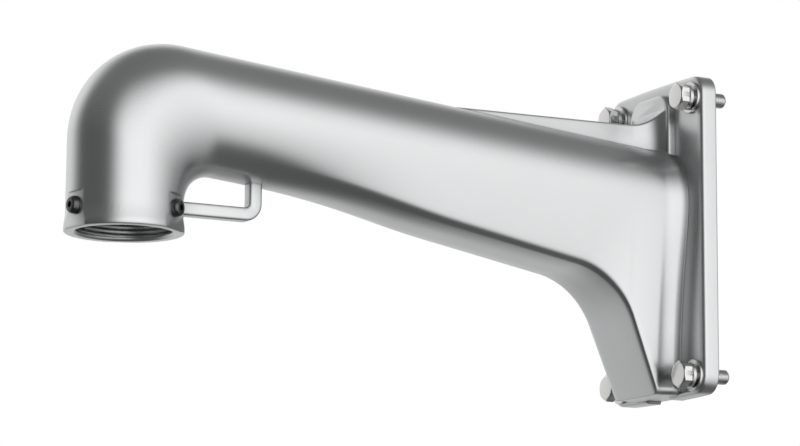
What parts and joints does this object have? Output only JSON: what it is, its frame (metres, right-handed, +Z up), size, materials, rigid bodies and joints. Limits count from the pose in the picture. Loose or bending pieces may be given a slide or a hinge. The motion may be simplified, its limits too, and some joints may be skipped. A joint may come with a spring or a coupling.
{
  "type": "camera wall bracket",
  "caption": "Swan-neck camera wall bracket: a hollow cast arm curves from a bolted wall plate to a threaded collar that hangs a dome camera, with a hook for a safety cable.",
  "frame": {"origin": "middle of the four wall bolts on the plate's back face, where it meets the wall", "axes": "+X into the wall, the arm reaches out to -X, +Z up, +Y to the left of someone who faces the wall"},
  "size_m": [0.3627, 0.093, 0.173],
  "materials": {
    "cast_aluminium": "fine satin cast and blasted",
    "bolt_steel": "plain bright steel",
    "black_screw": "black oxide, semi-gloss"
  },
  "bodies": {
    "root": {"arm_casting": "cast_aluminium", "cable_hook": "cast_aluminium", "collar_screw_1": "black_screw", "collar_screw_2": "black_screw", "collar_screw_3": "black_screw", "wall_bolt_1": "bolt_steel", "wall_bolt_2": "bolt_steel", "wall_bolt_3": "bolt_steel", "wall_bolt_4": "bolt_steel", "spring_washer_1": "bolt_steel", "spring_washer_2": "bolt_steel", "spring_washer_3": "bolt_steel", "spring_washer_4": "bolt_steel", "flat_washer_1": "bolt_steel", "flat_washer_2": "bolt_steel", "flat_washer_3": "bolt_steel", "flat_washer_4": "bolt_steel"}
  },
  "joints": []
}
